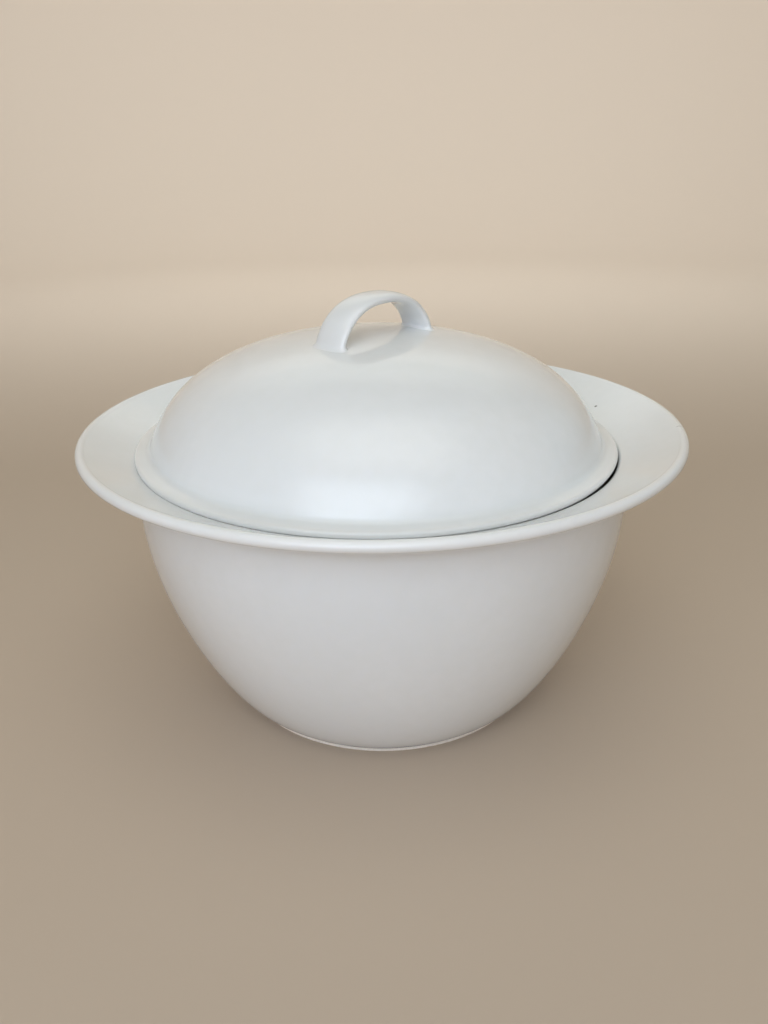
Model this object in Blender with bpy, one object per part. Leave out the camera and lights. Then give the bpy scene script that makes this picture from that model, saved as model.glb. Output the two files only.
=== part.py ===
"""Round covered serving dish of glazed porcelain: a bowl, its domed lid and the lid's strap handle.

Metres, +Z up. The origin is on the table, under the bowl's axis. +X runs along the handle's span.
The lid is built about its own axis, with z = 0 on the underside of its flange, and is then seated.
"""
from math import atan, cos, hypot, pi, radians, sin, sqrt, tan

import bmesh
import bpy
import numpy as np
from mathutils import Matrix, Vector

SEGMENTS = 60            # facets round every turned piece

FOOT_R = 0.0720          # outside of the foot ring
FOOT_W = 0.0062          # width of the foot ring
FOOT_LIP = 0.0007        # rounding of the ring's outer edge
FOOT_GROOVE = 0.0005     # half the height of the groove between ring and wall
FOOT_RECESS = 0.0042     # table to the underside inside the ring

BODY_R = 0.1143          # widest outside radius of the wall
BODY_Z = 0.1061          # height where the wall turns upright
BODY_FLAT = 0.0088       # how far the wall runs out flat above the foot
BODY_RISE = 0.0488       # how far the upright tangent pulls the wall's curve
WALL_T = 0.0050          # wall thickness
FLOOR_T = 0.0062         # floor thickness
FLOOR_FLAT = 0.72        # flat of the floor inside, as a share of the foot radius

RIM_R = 0.13915          # outside of the rim
RIM_Z = 0.13315          # height of the lip's centre
BEAD_R = 0.00245         # radius of the rounded lip, a shade more than half the flare
BEAD_BLEND = 0.0040      # hollow between the lip and the flare
FLARE = radians(24.2)    # slope of the flared rim
FLARE_T = 0.0047         # thickness of the flare
FLARE_ROUND = 0.0080     # hollow under the flare, where it leaves the wall
SEAT_ROUND = 0.0036      # bend from the flare down into the bowl

LID_R = 0.1122           # outside of the lid's flange
LID_EDGE_T = 0.0028      # flange thickness at its edge
FLANGE_FALL = radians(8) # slope of the flange's top, down towards the edge
LID_T = 0.0042           # dome thickness
DOME_R = 0.1047          # outside of the dome where it rises from the flange
DOME_H = 0.0518          # crown above the flange's underside
DOME_CROWN = 0.745       # fullness of the crown, as a share of the dome radius
DOME_LEAN = radians(19)  # lean of the dome's side off the upright, at its foot
DOME_SIDE = 0.0178       # how far that tangent pulls the dome's side
DOME_FOOT = 0.0035       # hollow between the dome and its flange
RING_DEPTH = 0.0075      # locating ring below the flange
RING_T = 0.0040          # thickness of the locating ring
RING_PLAY = 0.0036       # radial play of the ring in the bowl
LID_SHIFT = 0.0028       # how far the lid sits off centre, within that play
LID_SHIFT_DIR = radians(110)
SEAT_GAP = 0.0003        # clearance where two pieces touch

HANDLE_SPAN = 0.0595     # between the centres of the handle's feet
HANDLE_RISE = 0.0163     # strap's centre line above the crown
HANDLE_ROOT = 0.0115     # springing of the arch below the crown
HANDLE_POWER = 2.33      # 2 would make the arch half an ellipse
STRAP_W = 0.0167         # width of the strap at the top of the arch
STRAP_WIDEN = 0.06       # how much wider it grows towards the feet, as a share
STRAP_T = 0.0050         # thickness of the strap
STRAP_POWER = 2.3        # 2 would make the section an ellipse
STRAP_SIDES = 20         # facets round the strap
STRAP_STEPS = 13         # sections from a foot to the top of the arch
SKIRT = 0.0017           # how far each foot spreads where it joins the dome
SKIRT_STEPS = 5          # sections over that spread

GLAZE = (0.80, 0.82, 0.82, 1.0)


def arc(centre, radius, start, stop, steps):
    """Points on a circle from one angle to another, both ends included."""
    angles = np.linspace(start, stop, steps + 1)
    return [(centre[0] + radius * cos(a), centre[1] + radius * sin(a)) for a in angles]


def bezier(p0, p1, p2, p3, steps):
    """Points on a cubic curve, both ends included."""
    t = np.linspace(0.0, 1.0, steps + 1)[:, None]
    p0, p1, p2, p3 = (np.array(p) for p in (p0, p1, p2, p3))
    curve = (1 - t) ** 3 * p0 + 3 * (1 - t) ** 2 * t * p1 + 3 * (1 - t) * t ** 2 * p2 + t ** 3 * p3
    return [(float(r), float(z)) for r, z in curve]


def fillet(before, corner, after, radius, steps):
    """Points that round the corner between two straight runs."""
    corner = Vector(corner)
    a = (Vector(before) - corner).normalized()
    b = (Vector(after) - corner).normalized()
    half = a.angle(b) / 2
    centre = corner + (a + b).normalized() * (radius / sin(half))
    start = corner + a * (radius / tan(half)) - centre
    turn = (pi - 2 * half) * (1 if a.x * b.y - a.y * b.x < 0 else -1)
    points = []
    for k in range(steps + 1):
        p = centre + Matrix.Rotation(turn * k / steps, 2) @ start
        points.append((p.x, p.y))
    return points


def inset(points, distance):
    """The same run of points moved sideways, to the left of the way it runs."""
    p = np.array(points)
    way = np.gradient(p, axis=0)
    way /= np.linalg.norm(way, axis=1)[:, None]
    moved = p + distance * np.stack([-way[:, 1], way[:, 0]], axis=1)
    return [(float(r), float(z)) for r, z in moved]


def flare_point(along, above):
    """A point in the flared rim's own axes: outward along the slope and square to it."""
    r = RIM_R - BEAD_R + along * cos(FLARE) - above * sin(FLARE)
    return (r, RIM_Z + along * sin(FLARE) + above * cos(FLARE))


def flare_height(r, above):
    """Height of the flare's top or underside at a radius."""
    at = flare_point(0.0, above)
    return at[1] + (r - at[0]) * tan(FLARE)


def bowl_profile():
    """Half section of the bowl, from the floor's centre over the rim to the centre underneath."""
    wall_foot = (FOOT_R - FOOT_LIP, 2 * FOOT_LIP + 2 * FOOT_GROOVE)
    outside = bezier(wall_foot, (wall_foot[0] + BODY_FLAT, wall_foot[1]),
                     (BODY_R, BODY_Z - BODY_RISE), (BODY_R, BODY_Z), 12)
    inside = inset(outside, WALL_T)[4:]
    inside[-1] = (BODY_R - WALL_T, BODY_Z)
    floor_z = FOOT_RECESS + FLOOR_T
    floor_r = FLOOR_FLAT * FOOT_R
    lean = (Vector(inside[1]) - Vector(inside[0])).normalized()
    drop = (inside[0][1] - floor_z) / lean.y
    bend = Vector(inside[0]) - 0.8 * drop * lean
    floor_curve = bezier((floor_r, floor_z), ((floor_r + bend.x) / 2, floor_z), bend, inside[0], 4)

    half = FLARE_T / 2
    reach = sqrt((BEAD_R + BEAD_BLEND) ** 2 - (half + BEAD_BLEND) ** 2)
    swing = atan(reach / (half + BEAD_BLEND))
    bead = flare_point(0.0, 0.0)
    top_turn = FLARE + pi / 2 + swing
    under_turn = FLARE - pi / 2 - swing
    seat_corner = (BODY_R - WALL_T, flare_height(BODY_R - WALL_T, half))
    neck_corner = (BODY_R, flare_height(BODY_R, -half))

    ring_in = FOOT_R - FOOT_W
    points = [(0.0, floor_z)]
    points += floor_curve[:-1] + inside
    points += fillet(inside[-1], seat_corner, flare_point(0.0, half), SEAT_ROUND, 5)
    points += arc(flare_point(-reach, half + BEAD_BLEND), BEAD_BLEND,
                  FLARE - pi / 2, FLARE - pi / 2 + swing, 2)
    points += arc(bead, BEAD_R, top_turn, 0.0, 6)[1:]
    points += arc(bead, BEAD_R, 0.0, under_turn, 4)[1:-1]
    points += arc(flare_point(-reach, -half - BEAD_BLEND), BEAD_BLEND,
                  FLARE + pi / 2 - swing, FLARE + pi / 2, 2)
    points += fillet(flare_point(-reach, -half), neck_corner, (BODY_R, BODY_Z), FLARE_ROUND, 5)
    points += outside[::-1]
    points += arc((wall_foot[0], wall_foot[1] - FOOT_GROOVE), FOOT_GROOVE, pi / 2, 3 * pi / 2, 4)[1:-1]
    points += arc((FOOT_R - FOOT_LIP, FOOT_LIP), FOOT_LIP, pi / 2, -pi / 2, 4)
    points += fillet((FOOT_R, 0.0), (ring_in, 0.0), (ring_in, FOOT_RECESS), FOOT_LIP, 2)
    points += fillet((ring_in, 0.0), (ring_in, FOOT_RECESS), (0.0, FOOT_RECESS), FOOT_RECESS / 2, 3)
    points.append((0.0, FOOT_RECESS))
    return points


def hollow_centre():
    """Centre of the hollow where the dome runs out into the sloping top of its flange."""
    edge = LID_EDGE_T / 2
    r = DOME_R + DOME_FOOT * cos(DOME_LEAN)
    width = LID_R - edge + edge * sin(FLANGE_FALL) - (r - DOME_FOOT * sin(FLANGE_FALL))
    return (r, edge + (edge + DOME_FOOT) * cos(FLANGE_FALL) + width * tan(FLANGE_FALL))


def dome_curve():
    """Outside of the dome from the crown down to the hollow above its flange."""
    base = hollow_centre()[1] - DOME_FOOT * sin(DOME_LEAN)
    pull = (DOME_R - DOME_SIDE * sin(DOME_LEAN), base + DOME_SIDE * cos(DOME_LEAN))
    return bezier((0.0, DOME_H), (DOME_CROWN * DOME_R, DOME_H), pull, (DOME_R, base), 12)


def lid_profile():
    """Half section of the lid, from the crown over the flange to the crown inside."""
    outside = dome_curve()
    inside = inset(outside, -LID_T)[:-1]
    inside[0] = (0.0, DOME_H - LID_T)
    edge = LID_EDGE_T / 2
    ring_out = BODY_R - WALL_T - RING_PLAY
    ring_in = ring_out - RING_T
    points = list(outside)
    points += arc(hollow_centre(), DOME_FOOT, pi + DOME_LEAN, 3 * pi / 2 - FLANGE_FALL, 3)[1:]
    points += arc((LID_R - edge, edge), edge, pi / 2 - FLANGE_FALL, -pi / 2, 6)
    points += fillet((LID_R, 0.0), (ring_out, 0.0), (ring_out, -RING_DEPTH), edge / 2, 2)
    points += fillet((ring_out, 0.0), (ring_out, -RING_DEPTH), (ring_in, -RING_DEPTH), edge, 3)
    points += fillet((ring_out, -RING_DEPTH), (ring_in, -RING_DEPTH), (ring_in, 0.0), edge / 2, 2)
    points.append((ring_in, -RING_DEPTH / 2))
    points += inside[::-1]
    return points


def dome_height(x, y):
    """Height of the dome's facets over a point of the lid."""
    curve = dome_curve()
    return float(np.interp(hypot(x, y), [p[0] for p in curve], [p[1] for p in curve]))


def turned(name, profile, material):
    """A solid of revolution about Z."""
    mesh = bpy.data.meshes.new(name)
    kept = [profile[0]]
    for p in profile[1:]:
        if hypot(p[0] - kept[-1][0], p[1] - kept[-1][1]) > 1e-5:
            kept.append(p)
    edges = [(k, k + 1) for k in range(len(kept) - 1)]
    mesh.from_pydata([(r, 0.0, z) for r, z in kept], edges, [])
    obj = bpy.data.objects.new(name, mesh)
    bpy.context.collection.objects.link(obj)
    mesh.materials.append(material)
    screw = obj.modifiers.new("turn", 'SCREW')
    screw.axis = 'Z'
    screw.angle = 2 * pi
    screw.steps = SEGMENTS
    screw.render_steps = SEGMENTS
    screw.use_merge_vertices = True
    screw.merge_threshold = 1e-5
    screw.use_smooth_shade = True
    return obj


def strap_point(turn, angle, grow):
    """A point of the strap on its +X half: turn runs up the arch to pi / 2, angle goes round the section."""
    half, rise = HANDLE_SPAN / 2, HANDLE_RISE + HANDLE_ROOT
    x = half * cos(turn) ** (2 / HANDLE_POWER)
    z = rise * sin(turn) ** (2 / HANDLE_POWER)
    power = HANDLE_POWER - 1
    out = Vector(((x / half) ** power / half, (z / rise) ** power / rise)).normalized()
    wide = STRAP_W * (1 + STRAP_WIDEN * cos(turn) ** 2)
    c, s = cos(angle), sin(angle)
    across = abs(c) ** (2 / STRAP_POWER) * (STRAP_T / 2 + grow) * (1 if c > 0 else -1)
    along = abs(s) ** (2 / STRAP_POWER) * (wide / 2 + grow) * (1 if s > 0 else -1)
    return (x + across * out.x, along, DOME_H - HANDLE_ROOT + z + across * out.y)


def foot_turn(angle, grow, up):
    """How far up the arch the strap's surface stands at a height over the dome."""
    low, high = 0.0, pi / 2
    for _ in range(30):
        turn = (low + high) / 2
        x, y, z = strap_point(turn, angle, grow)
        if z < dome_height(x, y) + SEAT_GAP + up:
            low = turn
        else:
            high = turn
    return low


def strap_rings():
    """Sections of the strap from the +X foot over the arch to the -X foot."""
    angles = [2 * pi * k / STRAP_SIDES for k in range(STRAP_SIDES)]
    half = []
    for k in range(SKIRT_STEPS):
        bend = pi / 2 * k / SKIRT_STEPS
        up, grow = SKIRT * (1 - cos(bend)), SKIRT * (1 - sin(bend))
        half.append([strap_point(foot_turn(a, grow, up), a, grow) for a in angles])
    starts = [foot_turn(a, 0.0, SKIRT) for a in angles]
    for k in range(STRAP_STEPS + 1):
        share = k / STRAP_STEPS
        half.append([strap_point(t + (pi / 2 - t) * share, a, 0.0) for t, a in zip(starts, angles)])
    return half + [[(-x, y, z) for x, y, z in ring] for ring in half[-2::-1]]


def strap_handle(name, material):
    """The strap loop with a spread foot at each end, closed against the dome."""
    bm = bmesh.new()
    rings = [[bm.verts.new(p) for p in ring] for ring in strap_rings()]
    for a, b in zip(rings, rings[1:]):
        for k in range(STRAP_SIDES):
            n = (k + 1) % STRAP_SIDES
            bm.faces.new((a[k], a[n], b[n], b[k]))
    for ring in (rings[0], rings[-1]):
        middle_x = sum(v.co.x for v in ring) / STRAP_SIDES
        inner = []
        for v in ring:
            x, y = (v.co.x + middle_x) / 2, v.co.y / 2
            inner.append(bm.verts.new((x, y, dome_height(x, y) + SEAT_GAP)))
        hub = bm.verts.new((middle_x, 0.0, dome_height(middle_x, 0.0) + SEAT_GAP))
        for k in range(STRAP_SIDES):
            n = (k + 1) % STRAP_SIDES
            bm.faces.new((ring[k], inner[k], inner[n], ring[n]))
            bm.faces.new((inner[k], hub, inner[n]))
    bmesh.ops.recalc_face_normals(bm, faces=bm.faces)
    mesh = bpy.data.meshes.new(name)
    bm.to_mesh(mesh)
    bm.free()
    mesh.materials.append(material)
    obj = bpy.data.objects.new(name, mesh)
    bpy.context.collection.objects.link(obj)
    mesh.shade_smooth()
    mesh.set_sharp_from_angle(angle=radians(40))
    return obj


def glaze(name):
    """White glossy glaze."""
    material = bpy.data.materials.new(name)
    material.use_nodes = True
    shader = material.node_tree.nodes["Principled BSDF"]
    shader.inputs["Base Color"].default_value = GLAZE
    shader.inputs["Roughness"].default_value = 0.12
    return material


for old in list(bpy.data.objects):
    bpy.data.objects.remove(old, do_unlink=True)

bowl = turned("bowl", bowl_profile(), glaze("bowl_glaze"))
lid = turned("lid", lid_profile(), glaze("lid_glaze"))
handle = strap_handle("lid_handle", glaze("handle_glaze"))

# The lid slides off centre in the flare, climbs it on one side and so tips by a fraction of a degree.
edge = LID_EDGE_T / 2
seat_z = flare_height(LID_R - edge, FLARE_T / 2) + (edge + SEAT_GAP) / cos(FLARE) - edge
aim = Vector((cos(LID_SHIFT_DIR), sin(LID_SHIFT_DIR), 0.0))
tip = atan(LID_SHIFT * tan(FLARE) / LID_R)
lid.matrix_world = (Matrix.Translation(aim * LID_SHIFT + Vector((0.0, 0.0, seat_z)))
                    @ Matrix.Rotation(tip, 4, aim.cross(Vector((0.0, 0.0, 1.0)))))
handle.parent = lid
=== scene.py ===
from math import atan, atan2, cos, hypot, pi, radians, sin, sqrt, tan

import bpy
import numpy as np
from mathutils import Matrix, Vector


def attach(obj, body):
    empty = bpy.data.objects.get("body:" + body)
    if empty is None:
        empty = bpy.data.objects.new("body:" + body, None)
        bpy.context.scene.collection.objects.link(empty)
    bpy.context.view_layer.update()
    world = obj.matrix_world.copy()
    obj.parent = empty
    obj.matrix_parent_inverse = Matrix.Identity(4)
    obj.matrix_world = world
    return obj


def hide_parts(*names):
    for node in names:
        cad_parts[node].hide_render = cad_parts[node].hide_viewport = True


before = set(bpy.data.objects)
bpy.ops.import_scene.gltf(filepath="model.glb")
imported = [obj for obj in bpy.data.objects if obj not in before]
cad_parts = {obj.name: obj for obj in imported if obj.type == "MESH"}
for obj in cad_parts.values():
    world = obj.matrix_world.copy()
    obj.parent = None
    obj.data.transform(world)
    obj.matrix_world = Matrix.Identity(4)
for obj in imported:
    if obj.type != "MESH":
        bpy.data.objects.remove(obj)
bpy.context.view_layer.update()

# Sizes of the part's source, in metres and radians. Only SKIRT differs from it.
FOOT_R, FOOT_W, FOOT_LIP, FOOT_GROOVE, FOOT_RECESS = 0.0720, 0.0062, 0.0007, 0.0005, 0.0042
BODY_R, BODY_Z, BODY_FLAT, BODY_RISE = 0.1143, 0.1061, 0.0088, 0.0488
WALL_T, FLOOR_T, FLOOR_FLAT = 0.0050, 0.0062, 0.72
RIM_R, RIM_Z, BEAD_R, BEAD_BLEND = 0.13915, 0.13315, 0.00245, 0.0040
FLARE, FLARE_T, FLARE_ROUND, SEAT_ROUND = radians(24.2), 0.0047, 0.0080, 0.0036
LID_R, LID_EDGE_T, FLANGE_FALL, LID_T = 0.1122, 0.0028, radians(8), 0.0042
DOME_R, DOME_H, DOME_CROWN = 0.1047, 0.0518, 0.745
DOME_LEAN, DOME_SIDE, DOME_FOOT = radians(19), 0.0178, 0.0035
RING_DEPTH, RING_T, RING_PLAY = 0.0075, 0.0040, 0.0036
LID_SHIFT, LID_SHIFT_DIR, SEAT_GAP = 0.0028, radians(110), 0.0003
HANDLE_SPAN, HANDLE_RISE, HANDLE_ROOT, HANDLE_POWER = 0.0595, 0.0163, 0.0115, 2.33
STRAP_W, STRAP_WIDEN, STRAP_T, STRAP_POWER = 0.0167, 0.06, 0.0050, 2.3
SKIRT = 0.0026                # spread of the handle's feet with the glaze that fills their corners

# Fineness of the meshes: sides round a piece, and steps along the runs of its outline.
SEGMENTS = 180
STRAP_SIDES, STRAP_STEPS, SKIRT_STEPS = 56, 45, 10
STAGE_SIDES, STAGE_STEPS, SWEEP_STEPS = 96, 12, 16
WALL_STEPS, WALL_CUT = 48, 16          # the wall's inside leaves its first steps to the floor's curve
DOME_STEPS, DOME_CUT = 64, 4           # the dome's inside leaves its last steps to the ring
DOME_TABLE = 400                       # steps of the table that gives the dome's height
FLANGE_STEPS, SHORT_STEPS, EDGE_STEPS, BLEND_STEPS = 3, 4, 5, 6
HOLLOW_STEPS, FINE_STEPS, BEND_STEPS, BEAD_STEPS = 8, 10, 14, 28
HALVINGS = 30                          # in the search for a foot's place on the dome
SAME_POINT, ON_AXIS = 2e-5, 1e-7       # closer points are one, and a point this near Z is on it

# Forms that the part's source does not name, and the glaze over them.
FLOOR_PULL = 0.8              # how far down its own line the inside wall pulls the floor's curve
RING_PULL = 0.004             # how far the dome's inside pulls the curve that runs to the ring
HAIR = 0.00001                # keeps the handle's crown inside the box of its solid
BED = 0.00022                 # how far the glaze at the lid's edge fills the gap to the flare
BED_MOST = 1.27               # the most by which it swells the rounded edge
LIP_START, LIP_END = 1e-6, 1.01        # which points count as the lid's lower edge
POOL_RUN, POOL_TURN = 0.0022, 1.2      # run of outline over which a bend counts, and a full bend
FOOT_PAINTED_LIGHT, SIDE_THIN, SIDE_POWER = 0.6, 0.35, 6    # painted light on the strap's feet, and thin glaze on its narrow sides
SHADE_RISE = 2.2               # how high the painted shade sits over the foot ring, in depths of the groove

# Places seen in the photograph, in its own axes: right, away, up.
VIEW_TURN = radians(46.1)     # the handle's span against the photograph's horizontal
GAP_TURN, GAP_HALF, GAP_FADE = radians(-15), radians(12), radians(18)    # where the lid stands clear
SPECK_PLACE, SPECK_R, SPECK_DEPTH = (0.1107, 0.0431, 0.0), 0.00075, 0.9
SPECK_CORE, SPECK_FADE = 0.6, 1.25     # where a speck begins to fade and ends, in radii
HAIRLINE_IN, HAIRLINE_OUT, HAIRLINE_TURN = 0.1355, 0.1382, radians(-7)
HAIRLINE_STEPS, HAIRLINE_R, HAIRLINE_DEPTH = 9, 0.0003, 0.5

# Colours of glaze, marks, bare body and painted shade.
CLOUD_LOW, CLOUD_HIGH = (0.770, 0.785, 0.790, 1.0), (0.815, 0.826, 0.826, 1.0)
FINE_TINT = (0.760, 0.775, 0.765, 1.0)
# The second colour is thin glaze on edges, and painted light on the strap's feet.
POOLED, THINNED_AND_LIT = (0.700, 0.735, 0.735, 1.0), (0.835, 0.825, 0.805, 1.0)
PINHOLE, SPECK = (0.30, 0.27, 0.24, 1.0), (0.085, 0.075, 0.065, 1.0)
BODY_LOW, BODY_HIGH = (0.800, 0.725, 0.640, 1.0), (0.870, 0.805, 0.725, 1.0)
# Painted shade: a dark line in the groove above the foot ring.
GROOVE_SHADE = (0.135, 0.110, 0.090, 1.0)

# Noise in the glaze, as scale and detail, and ranges, as from low, from high, to low, to high.
CLOUD_NOISE, CLOUD_RANGE = (14.0, 3.0), (0.32, 0.68, 0.0, 1.0)
FINE_NOISE, FINE_RANGE = (160.0, 2.0), (0.35, 0.75, 0.0, 0.35)
POOL_RANGE, THIN_AND_LIT_RANGE = (0.05, 0.8, 0.0, 0.22), (-0.15, -0.9, 0.0, 0.30)
PIN_CELLS, PIN_RARE, PIN_DOT = 85.0, (0.955, 0.965, 0.0, 1.0), (0.016, 0.030, 0.55, 0.0)
GRIT_NOISE, GRIT_RANGE = (900.0, 2.0), (0.3, 0.7, 0.0, 1.0)
GROOVE_SHADE_RANGE = (0.0, 1.0, 0.0, 0.95)
GLOSS_NOISE, GLOSS_RANGE, BARE_ROUGH = (38.0, 3.0), (0.3, 0.7, 0.055, 0.105), 0.72
WAVE_NOISE, WAVE_STRENGTH, WAVE_DEPTH = (26.0, 1.0), 0.35, 0.0006
PEEL_NOISE, PEEL_STRENGTH, PEEL_DEPTH = (700.0, 1.0), 0.10, 0.00006
GLAZE_IOR, GLOW, GLOW_RADIUS, GLOW_SCALE = 1.52, 0.12, (1.0, 0.85, 0.7), 0.0015

# Sockets of Blender's mix node, which has one set for each kind of value.
COLOUR_A, COLOUR_B, COLOUR_OUT = 6, 7, 2
NUMBER_A, NUMBER_B, NUMBER_OUT = 2, 3, 0

# The studio.
STAGE_FLAT, STAGE_SWEEP, STAGE_TOP = 1.5, 0.6, 1.6
STAGE_COLOUR, STAGE_ROUGH = (0.54, 0.44, 0.345, 1.0), 0.8
SKY_COLOUR, SKY_STRENGTH = (1.0, 0.91, 0.71, 1.0), 0.235
LIGHT_HALF, LIGHT_FADE = 0.5, 0.42     # middle of a light, and how far it fades from each edge
LIGHT_TARGET = (0.0, 0.0, 0.10)

# Name, azimuth, elevation, distance, size, power and colour of each light. The last has its own target.
LIGHTS = (
    ("key", -8, 33, 1.6, (2.4, 1.6), 40.0, (0.76, 0.87, 1.0)),
    ("low", -14, 15, 1.6, (1.5, 0.5), 10.5, (0.79, 0.85, 1.0)),
    ("top", 0, 78, 1.5, (2.2, 1.8), 17.5, (0.985, 1.0, 0.95)),
    ("side", 112, 25, 1.6, (1.8, 1.2), 2.5, (0.40, 0.75, 1.0)),
    ("back", 180, 42, 1.9, (2.8, 1.3), 9.5, (0.95, 1.0, 0.97)),
    ("backdrop", 180, 50, 1.4, (2.8, 0.9), 60.0, (0.80, 0.90, 1.0), (0.0, 2.1, 0.40)),
)

# The camera, solved from the ellipses of rim, lid edge and foot in the photograph.
IMAGE_W, IMAGE_H = 768, 1024
AXIS_U, AXIS_V = 385.5, 666.8          # the pixel where the bowl's axis meets the table
FOCAL = 950.0                          # in pixels
REACH = 6.949                          # distance along the view, in radii of the foot
PITCH, ROLL = radians(22.81), radians(-0.91)
SENSOR, CLIP_START = 36, 0.01


def turn_in(p):
    """From the photograph's axes (right, away, up) to the part's."""
    return Matrix.Rotation(-VIEW_TURN, 4, 'Z') @ Vector(p)


def arc(centre, radius, start, stop, steps):
    """Points on a circle from one angle to another, both ends included."""
    angles = np.linspace(start, stop, steps + 1)
    return [(centre[0] + radius * cos(a), centre[1] + radius * sin(a)) for a in angles]


def bezier(p0, p1, p2, p3, steps):
    """Points on a cubic curve, both ends included."""
    t = np.linspace(0.0, 1.0, steps + 1)[:, None]
    p0, p1, p2, p3 = (np.array(p) for p in (p0, p1, p2, p3))
    curve = (1 - t) ** 3 * p0 + 3 * (1 - t) ** 2 * t * p1 + 3 * (1 - t) * t ** 2 * p2 + t ** 3 * p3
    return [(float(r), float(z)) for r, z in curve]


def line(a, b, steps):
    """Points on a straight run, both ends included."""
    return [(a[0] + (b[0] - a[0]) * k / steps, a[1] + (b[1] - a[1]) * k / steps)
            for k in range(steps + 1)]


def fillet(before, corner, after, radius, steps):
    """Points that round the corner between two straight runs."""
    corner = Vector(corner)
    a = (Vector(before) - corner).normalized()
    b = (Vector(after) - corner).normalized()
    half = a.angle(b) / 2
    centre = corner + (a + b).normalized() * (radius / sin(half))
    start = corner + a * (radius / tan(half)) - centre
    turn = (pi - 2 * half) * (1 if a.x * b.y - a.y * b.x < 0 else -1)
    points = []
    for k in range(steps + 1):
        p = centre + Matrix.Rotation(turn * k / steps, 2) @ start
        points.append((p.x, p.y))
    return points


def inset(points, distance):
    """The same run of points moved sideways, to the left of the way it runs."""
    p = np.array(points)
    way = np.gradient(p, axis=0)
    way /= np.linalg.norm(way, axis=1)[:, None]
    moved = p + distance * np.stack([-way[:, 1], way[:, 0]], axis=1)
    return [(float(r), float(z)) for r, z in moved]


def flare_point(along, above):
    """A point in the flared rim's own axes: outward along the slope and square to it."""
    r = RIM_R - BEAD_R + along * cos(FLARE) - above * sin(FLARE)
    return (r, RIM_Z + along * sin(FLARE) + above * cos(FLARE))


def flare_height(r, above):
    """Height of the flare's top or underside at a radius."""
    at = flare_point(0.0, above)
    return at[1] + (r - at[0]) * tan(FLARE)


def tidy(points):
    """The points without those that repeat the one before."""
    kept = [points[0]]
    for p in points[1:]:
        if hypot(p[0] - kept[-1][0], p[1] - kept[-1][1]) > SAME_POINT:
            kept.append(p)
    return kept


def bowl_profile():
    """Half section of the bowl, from the floor's centre over the rim to the centre underneath."""
    wall_foot = (FOOT_R - FOOT_LIP, 2 * FOOT_LIP + 2 * FOOT_GROOVE)
    outside = bezier(wall_foot, (wall_foot[0] + BODY_FLAT, wall_foot[1]),
                     (BODY_R, BODY_Z - BODY_RISE), (BODY_R, BODY_Z), WALL_STEPS)
    inside = inset(outside, WALL_T)[WALL_CUT:]
    inside[-1] = (BODY_R - WALL_T, BODY_Z)
    floor_z = FOOT_RECESS + FLOOR_T
    floor_r = FLOOR_FLAT * FOOT_R
    lean = (Vector(inside[1]) - Vector(inside[0])).normalized()
    drop = (inside[0][1] - floor_z) / lean.y
    bend = Vector(inside[0]) - FLOOR_PULL * drop * lean
    halfway = ((floor_r + bend.x) / 2, floor_z)
    floor_curve = bezier((floor_r, floor_z), halfway, bend, inside[0], BEND_STEPS)
    half = FLARE_T / 2
    reach = sqrt((BEAD_R + BEAD_BLEND) ** 2 - (half + BEAD_BLEND) ** 2)
    swing = atan(reach / (half + BEAD_BLEND))
    bead = flare_point(0.0, 0.0)
    up, down = FLARE + pi / 2, FLARE - pi / 2
    seat_corner = (BODY_R - WALL_T, flare_height(BODY_R - WALL_T, half))
    neck_corner = (BODY_R, flare_height(BODY_R, -half))
    ring_in = FOOT_R - FOOT_W
    corner = (ring_in, FOOT_RECESS)
    groove = (wall_foot[0], wall_foot[1] - FOOT_GROOVE)
    seat_round = fillet(inside[-1], seat_corner, flare_point(0.0, half), SEAT_ROUND, BEND_STEPS)
    hollow = arc(flare_point(-reach, half + BEAD_BLEND), BEAD_BLEND, down, down + swing, BLEND_STEPS)
    under = arc(flare_point(-reach, -half - BEAD_BLEND), BEAD_BLEND, up - swing, up, BLEND_STEPS)
    neck = fillet(flare_point(-reach, -half), neck_corner, (BODY_R, BODY_Z), FLARE_ROUND, BEND_STEPS)
    points = line((0.0, floor_z), (floor_r, floor_z), FINE_STEPS) + floor_curve + inside
    points += line(inside[-1], seat_round[0], EDGE_STEPS) + seat_round
    points += line(seat_round[-1], hollow[0], BLEND_STEPS) + hollow
    points += arc(bead, BEAD_R, up + swing, down - swing, BEAD_STEPS)
    points += under + line(under[-1], neck[0], EDGE_STEPS)
    points += neck + line(neck[-1], outside[-1], SHORT_STEPS)
    points += outside[::-1]
    points += arc(groove, FOOT_GROOVE, pi / 2, 3 * pi / 2, FINE_STEPS)
    points += arc((FOOT_R - FOOT_LIP, FOOT_LIP), FOOT_LIP, pi / 2, -pi / 2, FINE_STEPS)
    points += line((FOOT_R - FOOT_LIP, 0.0), (ring_in + FOOT_LIP, 0.0), SHORT_STEPS)
    points += fillet((FOOT_R, 0.0), (ring_in, 0.0), corner, FOOT_LIP, EDGE_STEPS)
    points += fillet((ring_in, 0.0), corner, (0.0, FOOT_RECESS), FOOT_RECESS / 2, HOLLOW_STEPS)
    points += line(points[-1], (0.0, FOOT_RECESS), FINE_STEPS)
    return tidy(points)


def hollow_centre():
    """Centre of the hollow where the dome runs out into the sloping top of its flange."""
    edge = LID_EDGE_T / 2
    r = DOME_R + DOME_FOOT * cos(DOME_LEAN)
    width = LID_R - edge + edge * sin(FLANGE_FALL) - (r - DOME_FOOT * sin(FLANGE_FALL))
    return (r, edge + (edge + DOME_FOOT) * cos(FLANGE_FALL) + width * tan(FLANGE_FALL))


def dome_curve(steps):
    """Outside of the dome from the crown down to the hollow above its flange."""
    base = hollow_centre()[1] - DOME_FOOT * sin(DOME_LEAN)
    pull = (DOME_R - DOME_SIDE * sin(DOME_LEAN), base + DOME_SIDE * cos(DOME_LEAN))
    return bezier((0.0, DOME_H), (DOME_CROWN * DOME_R, DOME_H), pull, (DOME_R, base), steps)


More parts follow.
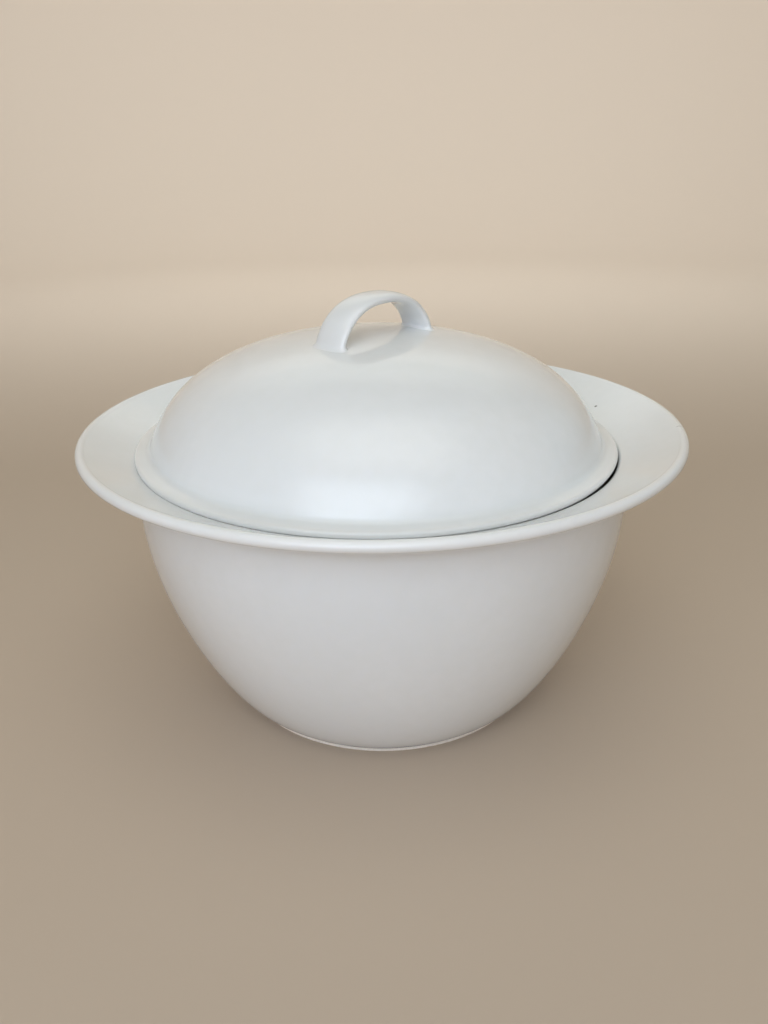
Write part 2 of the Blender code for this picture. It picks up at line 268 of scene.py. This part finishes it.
def lid_profile():
    """Half section of the lid, from the crown over the flange to the crown inside."""
    outside = dome_curve(DOME_STEPS)
    inside = inset(outside, -LID_T)[:-DOME_CUT]
    inside[0] = (0.0, DOME_H - LID_T)
    edge = LID_EDGE_T / 2
    ring_out = BODY_R - WALL_T - RING_PLAY
    ring_in = ring_out - RING_T
    low_out, low_in = (ring_out, -RING_DEPTH), (ring_in, -RING_DEPTH)
    hollow = arc(hollow_centre(), DOME_FOOT, pi + DOME_LEAN, 3 * pi / 2 - FLANGE_FALL, FINE_STEPS)
    lip = arc((LID_R - edge, edge), edge, pi / 2 - FLANGE_FALL, -pi / 2, BEND_STEPS)
    points = outside + hollow + line(hollow[-1], lip[0], FLANGE_STEPS) + lip
    points += fillet((LID_R, 0.0), (ring_out, 0.0), low_out, edge / 2, EDGE_STEPS)
    points += fillet((ring_out, 0.0), low_out, low_in, edge, BLEND_STEPS)
    points += fillet(low_out, low_in, (ring_in, 0.0), edge / 2, EDGE_STEPS)
    start = (ring_in, -RING_DEPTH / 2)
    ahead = Vector(inside[-1]) - Vector(inside[-2])
    pull = Vector(inside[-1]) + ahead.normalized() * RING_PULL
    points += bezier(start, (ring_in, 0.0), pull, inside[-1], HOLLOW_STEPS)
    points += inside[::-1]
    return tidy(points)


DOME = dome_curve(DOME_TABLE)
DOME_RADII = [p[0] for p in DOME]
DOME_HEIGHTS = [p[1] for p in DOME]


def dome_height(x, y):
    """Height of the dome over a point of the lid."""
    return float(np.interp(hypot(x, y), DOME_RADII, DOME_HEIGHTS))


def bends(profile):
    """How sharply the outline turns at each point: above 0 in a hollow, below 0 on an edge."""
    p = np.array(profile)
    step = np.diff(p, axis=0)
    size = np.linalg.norm(step, axis=1)
    way = np.arctan2(step[:, 1], step[:, 0])
    turn = np.zeros(len(p))
    turn[1:-1] = (np.diff(way) + pi) % (2 * pi) - pi
    run = np.concatenate([[0.0], np.cumsum(size)])
    out = np.zeros(len(p))
    for k in range(len(p)):
        weight = np.exp(-((run - run[k]) / POOL_RUN) ** 2)
        out[k] = float((turn * weight).sum())
    return np.clip(out / POOL_TURN, -1.0, 1.0)


def add_mesh(name, verts, faces, floats):
    """A smooth mesh whose points carry the given values."""
    mesh = bpy.data.meshes.new(name)
    mesh.from_pydata(verts, [], faces)
    mesh.validate()
    for key, values in floats.items():
        layer = mesh.attributes.new(key, 'FLOAT', 'POINT')
        layer.data.foreach_set("value", np.array(values, dtype=np.float32))
    mesh.shade_smooth()
    obj = bpy.data.objects.new(name, mesh)
    bpy.context.collection.objects.link(obj)
    return obj


def revolve(profile, sides):
    """Points and faces of an outline turned about Z, and how many points each of its points gives."""
    verts, rows, counts = [], [], []
    for r, z in profile:
        count = 1 if r < ON_AXIS else sides
        rows.append([len(verts) + s % count for s in range(sides)])
        counts.append(count)
        for s in range(count):
            a = 2 * pi * s / sides
            verts.append((r * cos(a), r * sin(a), z))
    faces = []
    for a, b in zip(rows, rows[1:]):
        for s in range(sides):
            n = (s + 1) % sides
            face = [a[s], b[s], b[n], a[n]]
            faces.append([v for k, v in enumerate(face) if v != face[k - 1]])
    return verts, faces, counts


def on_foot_ring(r, z):
    """Whether a point of the bowl's outline is on the foot ring, which has no glaze."""
    return z < 2 * FOOT_LIP and r > FOOT_R - FOOT_W


def in_groove(r, z):
    """Whether painted shade darkens a point of the bowl's outline: at the groove's height, within the foot.
    """
    return 2 * FOOT_LIP < z < 2 * FOOT_LIP + SHADE_RISE * FOOT_GROOVE and r < FOOT_R


def turned(name, profile, bare=None, groove=None):
    """A turned piece. Its points carry how the glaze pools, where the body is bare, and where shade is
    painted in the foot's groove.
    """
    verts, faces, counts = revolve(profile, SEGMENTS)
    pool, dry, groove_shade = [], [], []
    for (r, z), bend, count in zip(profile, bends(profile), counts):
        pool += [bend] * count
        dry += [1.0 if bare and bare(r, z) else 0.0] * count
        groove_shade += [1.0 if groove and groove(r, z) else 0.0] * count
    return add_mesh(name, verts, faces, {"pool": pool, "bare": dry, "groove_shade": groove_shade})


def strap_point(turn, angle, grow):
    """A point of the strap, by its turn along the arch, its angle round the section and a spread."""
    half, rise = HANDLE_SPAN / 2, HANDLE_RISE + HANDLE_ROOT
    x = half * cos(turn) ** (2 / HANDLE_POWER)
    z = rise * sin(turn) ** (2 / HANDLE_POWER)
    power = HANDLE_POWER - 1
    out = Vector(((x / half) ** power / half, (z / rise) ** power / rise)).normalized()
    wide = STRAP_W * (1 + STRAP_WIDEN * cos(turn) ** 2)
    c, s = cos(angle), sin(angle)
    across = abs(c) ** (2 / STRAP_POWER) * (STRAP_T / 2 + grow) * (1 if c > 0 else -1)
    along = abs(s) ** (2 / STRAP_POWER) * (wide / 2 + grow) * (1 if s > 0 else -1)
    return (x + across * out.x, along, DOME_H - HANDLE_ROOT + z + across * out.y)


def foot_turn(angle, grow, up):
    """The turn at which a line of the strap stands the given height over the dome."""
    low, high = 0.0, pi / 2
    for _ in range(HALVINGS):
        turn = (low + high) / 2
        x, y, z = strap_point(turn, angle, grow)
        if z < dome_height(x, y) + up:
            low = turn
        else:
            high = turn
    return low


def strap(name):
    """The strap loop. Its spread feet run a little way into the dome, as the glaze joins them."""
    angles = [2 * pi * k / STRAP_SIDES for k in range(STRAP_SIDES)]
    half, half_foot_light = [], []
    for k in range(SKIRT_STEPS):
        bend = pi / 2 * k / SKIRT_STEPS
        up, grow = SKIRT * (1 - cos(bend)) - SEAT_GAP, SKIRT * (1 - sin(bend))
        half.append([strap_point(foot_turn(a, grow, up), a, grow) for a in angles])
        # Painted light: the skirt's colour lightens towards the dome.
        half_foot_light.append(-FOOT_PAINTED_LIGHT * (1 - k / SKIRT_STEPS))
    starts = [foot_turn(a, 0.0, SKIRT - SEAT_GAP) for a in angles]
    for k in range(STRAP_STEPS + 1):
        share = k / STRAP_STEPS
        half.append([strap_point(s + (pi / 2 - s) * share, a, 0.0) for s, a in zip(starts, angles)])
        half_foot_light.append(0.0)
    rings = half + [[(-x, y, z) for x, y, z in ring] for ring in half[-2::-1]]
    ring_foot_light = half_foot_light + half_foot_light[-2::-1]
    verts, pool = [], []
    for ring, value in zip(rings, ring_foot_light):
        verts += ring
        for a in angles:
            side = abs(sin(a)) ** SIDE_POWER
            pool.append(value - SIDE_THIN * side * (1 - value))
    faces = []
    for i in range(len(rings) - 1):
        a, b = i * STRAP_SIDES, (i + 1) * STRAP_SIDES
        for k in range(STRAP_SIDES):
            n = (k + 1) % STRAP_SIDES
            faces.append((a + k, a + n, b + n, b + k))
    last = (len(rings) - 1) * STRAP_SIDES
    faces.append(tuple(range(STRAP_SIDES - 1, -1, -1)))
    faces.append(tuple(range(last, last + STRAP_SIDES)))
    return add_mesh(name, verts, faces, {"pool": pool})


def bed_edge(obj):
    """Fills the lid's lower edge out to the flare, except where the photograph shows a gap."""
    edge = LID_EDGE_T / 2
    for v in obj.data.vertices:
        r = hypot(v.co.x, v.co.y)
        out, drop = r - (LID_R - edge), edge - v.co.z
        if out < LIP_START or drop < LIP_START or hypot(out, drop) > edge * LIP_END:
            continue
        turn = atan2(drop, out)
        full = min(1 / cos(turn), (1 + BED / edge) / sin(FLARE + turn), BED_MOST)
        side = abs((atan2(v.co.y, v.co.x) + VIEW_TURN - GAP_TURN + pi) % (2 * pi) - pi)
        share = min(max((side - GAP_HALF) / GAP_FADE, 0.0), 1.0)
        grow = 1 + (full - 1) * share
        reach = LID_R - edge + out * grow
        v.co = (v.co.x * reach / r, v.co.y * reach / r, edge - drop * grow)


def seat(obj):
    """Puts a lid piece where the lid sits: off centre in the flare, tipped by the slope it climbs."""
    edge = LID_EDGE_T / 2
    z = flare_height(LID_R - edge, FLARE_T / 2) + (edge + SEAT_GAP) / cos(FLARE) - edge - HAIR
    aim = Vector((cos(LID_SHIFT_DIR), sin(LID_SHIFT_DIR), 0.0))
    tip = atan(LID_SHIFT * tan(FLARE) / LID_R)
    obj.data.transform(Matrix.Translation(aim * LID_SHIFT + Vector((0.0, 0.0, z)))
                       @ Matrix.Rotation(tip, 4, aim.cross(Vector((0.0, 0.0, 1.0)))))


def glaze(name, specks=()):
    """White glaze: faint clouding, cooler where it pools, left off the foot ring, wavy gloss."""
    material = bpy.data.materials.new(name)
    material.use_nodes = True
    tree = material.node_tree
    shader = tree.nodes["Principled BSDF"]

    def node(kind, **values):
        n = tree.nodes.new(kind)
        for key, value in values.items():
            if key in n.inputs:
                n.inputs[key].default_value = value
            else:
                setattr(n, key, value)
        return n

    def link(out, into):
        tree.links.new(out, into)

    def mix(factor, a, b):
        n = node('ShaderNodeMix', data_type='RGBA')
        link(factor, n.inputs[0])
        for value, socket in ((a, n.inputs[COLOUR_A]), (b, n.inputs[COLOUR_B])):
            if isinstance(value, tuple):
                socket.default_value = value
            else:
                link(value, socket)
        return n.outputs[COLOUR_OUT]

    def remap(value, low, high, to_low, to_high):
        n = node('ShaderNodeMapRange')
        link(value, n.inputs["Value"])
        ends = {"From Min": low, "From Max": high, "To Min": to_low, "To Max": to_high}
        for key, number in ends.items():
            n.inputs[key].default_value = number
        return n.outputs["Result"]

    place = node('ShaderNodeTexCoord').outputs["Object"]

    def noise(scale, detail):
        n = node('ShaderNodeTexNoise', Scale=scale, Detail=detail)
        link(place, n.inputs["Vector"])
        return n.outputs["Fac"]

    def carried(key):
        return node('ShaderNodeAttribute', attribute_name=key).outputs["Fac"]

    pool, bare, groove_shade = carried("pool"), carried("bare"), carried("groove_shade")

    cloud = remap(noise(*CLOUD_NOISE), *CLOUD_RANGE)
    colour = mix(cloud, CLOUD_LOW, CLOUD_HIGH)
    fine = remap(noise(*FINE_NOISE), *FINE_RANGE)
    colour = mix(fine, colour, FINE_TINT)
    colour = mix(remap(pool, *POOL_RANGE), colour, POOLED)
    # Thin glaze on edges, and painted light on the strap's feet.
    colour = mix(remap(pool, *THIN_AND_LIT_RANGE), colour, THINNED_AND_LIT)

    # Pinholes, in a few of the cells.
    cells = node('ShaderNodeTexVoronoi', Scale=PIN_CELLS)
    link(place, cells.inputs["Vector"])
    chosen = node('ShaderNodeSeparateColor')
    link(cells.outputs["Color"], chosen.inputs[0])
    rare = remap(chosen.outputs[0], *PIN_RARE)
    dot = remap(cells.outputs["Distance"], *PIN_DOT)
    pin = node('ShaderNodeMath', operation='MULTIPLY')
    link(rare, pin.inputs[0])
    link(dot, pin.inputs[1])
    colour = mix(pin.outputs[0], colour, PINHOLE)

    for spot, radius, depth in specks:
        away = node('ShaderNodeVectorMath', operation='DISTANCE')
        link(place, away.inputs[0])
        away.inputs[1].default_value = spot
        mark = remap(away.outputs["Value"], radius * SPECK_CORE, radius * SPECK_FADE, depth, 0.0)
        colour = mix(mark, colour, SPECK)

    grit = remap(noise(*GRIT_NOISE), *GRIT_RANGE)
    body = mix(grit, BODY_LOW, BODY_HIGH)
    colour = mix(bare, colour, body)
    # Painted shade darkens the groove above the foot ring.
    colour = mix(remap(groove_shade, *GROOVE_SHADE_RANGE), colour, GROOVE_SHADE)
    link(colour, shader.inputs["Base Color"])

    gloss = remap(noise(*GLOSS_NOISE), *GLOSS_RANGE)
    rough = node('ShaderNodeMix', data_type='FLOAT')
    link(bare, rough.inputs[0])
    link(gloss, rough.inputs[NUMBER_A])
    rough.inputs[NUMBER_B].default_value = BARE_ROUGH
    link(rough.outputs[NUMBER_OUT], shader.inputs["Roughness"])

    wave = node('ShaderNodeBump', Strength=WAVE_STRENGTH, Distance=WAVE_DEPTH)
    link(noise(*WAVE_NOISE), wave.inputs["Height"])
    peel = node('ShaderNodeBump', Strength=PEEL_STRENGTH, Distance=PEEL_DEPTH)
    link(noise(*PEEL_NOISE), peel.inputs["Height"])
    link(wave.outputs["Normal"], peel.inputs["Normal"])
    link(peel.outputs["Normal"], shader.inputs["Normal"])

    shader.inputs["IOR"].default_value = GLAZE_IOR
    shader.inputs["Subsurface Weight"].default_value = GLOW
    shader.inputs["Subsurface Radius"].default_value = GLOW_RADIUS
    shader.inputs["Subsurface Scale"].default_value = GLOW_SCALE
    return material


def rim_speck():
    """The small dark speck on the flare at the right."""
    mark = turn_in(SPECK_PLACE)
    mark.z = flare_height(hypot(mark.x, mark.y), FLARE_T / 2)
    return (tuple(mark), SPECK_R, SPECK_DEPTH)


def rim_hairline():
    """A faint crack across the lip at the right, as a row of small marks."""
    bead_r, bead_z = flare_point(0.0, 0.0)
    marks = []
    for k in range(HAIRLINE_STEPS):
        r = HAIRLINE_IN + (HAIRLINE_OUT - HAIRLINE_IN) * k / (HAIRLINE_STEPS - 1)
        mark = turn_in((r * cos(HAIRLINE_TURN), r * sin(HAIRLINE_TURN), 0.0))
        mark.z = bead_z + sqrt(BEAD_R ** 2 - (r - bead_r) ** 2)
        marks.append((tuple(mark), HAIRLINE_R, HAIRLINE_DEPTH))
    return marks


# The pieces: made, seated, glazed, and put on their bodies in place of the solids.
bowl = turned("bowl_body", bowl_profile(), on_foot_ring, in_groove)
lid = turned("lid_dome", lid_profile())
bed_edge(lid)
handle = strap("lid_strap")
seat(lid)
seat(handle)

bowl.data.materials.append(glaze("glaze_bowl", [rim_speck()] + rim_hairline()))
lid.data.materials.append(glaze("glaze_lid"))
handle.data.materials.append(glaze("glaze_handle"))

for piece, node_name, body, slot in ((bowl, "bowl", "bowl", "bowl_glaze"), (lid, "lid", "lid", "lid_glaze"),
                                     (handle, "lid_handle", "lid", "handle_glaze")):
    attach(piece, body)
    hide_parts(node_name)


def stage_floor():
    """A round studio floor that sweeps up into a wall all round."""
    profile = line((0.0, 0.0), (STAGE_FLAT, 0.0), STAGE_STEPS)
    profile += arc((STAGE_FLAT, STAGE_SWEEP), STAGE_SWEEP, -pi / 2, 0.0, SWEEP_STEPS)
    profile.append((STAGE_FLAT + STAGE_SWEEP, STAGE_TOP))
    verts, faces, _ = revolve(tidy(profile), STAGE_SIDES)
    floor = add_mesh("stage_floor", verts, [face[::-1] for face in faces], {})
    material = bpy.data.materials.new("stage_pale")
    material.use_nodes = True
    shader = material.node_tree.nodes["Principled BSDF"]
    shader.inputs["Base Color"].default_value = STAGE_COLOUR
    shader.inputs["Roughness"].default_value = STAGE_ROUGH
    floor.data.materials.append(material)


def soften(light):
    """Lets a rectangular light fade to its edges."""
    light.use_nodes = True
    tree = light.node_tree
    place = tree.nodes.new('ShaderNodeNewGeometry').outputs["Parametric"]
    parts = tree.nodes.new('ShaderNodeSeparateXYZ')
    tree.links.new(place, parts.inputs[0])
    both = tree.nodes.new('ShaderNodeMath')
    both.operation = 'MULTIPLY'
    for axis in (0, 1):
        far = tree.nodes.new('ShaderNodeMath')
        far.operation = 'PINGPONG'
        far.inputs[1].default_value = LIGHT_HALF
        tree.links.new(parts.outputs[axis], far.inputs[0])
        fade = tree.nodes.new('ShaderNodeMapRange')
        fade.interpolation_type = 'SMOOTHSTEP'
        fade.inputs["From Max"].default_value = LIGHT_FADE
        fade.inputs["To Max"].default_value = 1.0
        tree.links.new(far.outputs[0], fade.inputs["Value"])
        tree.links.new(fade.outputs[0], both.inputs[axis])
    tree.links.new(both.outputs[0], tree.nodes["Emission"].inputs["Strength"])


def softbox(name, azimuth, elevation, distance, size, power, colour, target=LIGHT_TARGET):
    """A soft rectangular light, placed by its angles to the photograph's view, in degrees."""
    a, e = radians(azimuth), radians(elevation)
    spot = turn_in((distance * sin(a) * cos(e), -distance * cos(a) * cos(e), distance * sin(e)))
    light = bpy.data.lights.new(name, 'AREA')
    light.shape = 'RECTANGLE'
    light.size, light.size_y = size
    light.energy = power
    light.color = colour
    soften(light)
    obj = bpy.data.objects.new(name, light)
    bpy.context.collection.objects.link(obj)
    aim = turn_in(target) - spot
    obj.location = spot
    obj.rotation_euler = aim.to_track_quat('-Z', 'Y').to_euler()


def studio_sky():
    """An even warm light from all round."""
    world = bpy.data.worlds.new("studio")
    bpy.context.scene.world = world
    world.use_nodes = True
    sky = world.node_tree.nodes["Background"]
    sky.inputs["Color"].default_value = SKY_COLOUR
    sky.inputs["Strength"].default_value = SKY_STRENGTH


def photo_camera():
    """The camera where the photograph was taken from."""
    away = Vector((0.0, cos(PITCH), -sin(PITCH)))
    up = Vector((0.0, sin(PITCH), cos(PITCH)))
    right = Vector((1.0, 0.0, 0.0))
    side = cos(ROLL) * right + sin(ROLL) * up
    lift = -sin(ROLL) * right + cos(ROLL) * up
    across = (AXIS_U - IMAGE_W / 2) / FOCAL * REACH
    down = (AXIS_V - IMAGE_H / 2) / FOCAL * REACH
    centre = -(across * side - down * lift + REACH * away) * FOOT_R
    camera = bpy.data.objects.new("camera", bpy.data.cameras.new("camera"))
    bpy.context.collection.objects.link(camera)
    camera.data.lens = FOCAL / IMAGE_H * SENSOR
    camera.data.sensor_width = SENSOR
    camera.data.clip_start = CLIP_START
    axes = Matrix([turn_in(v) for v in (side, lift, -away)]).transposed()
    camera.matrix_world = Matrix.Translation(turn_in(centre)) @ axes.to_4x4()
    bpy.context.scene.camera = camera


stage_floor()
for settings in LIGHTS:
    softbox(*settings)
studio_sky()
bpy.context.scene.view_settings.view_transform = 'Standard'
photo_camera()
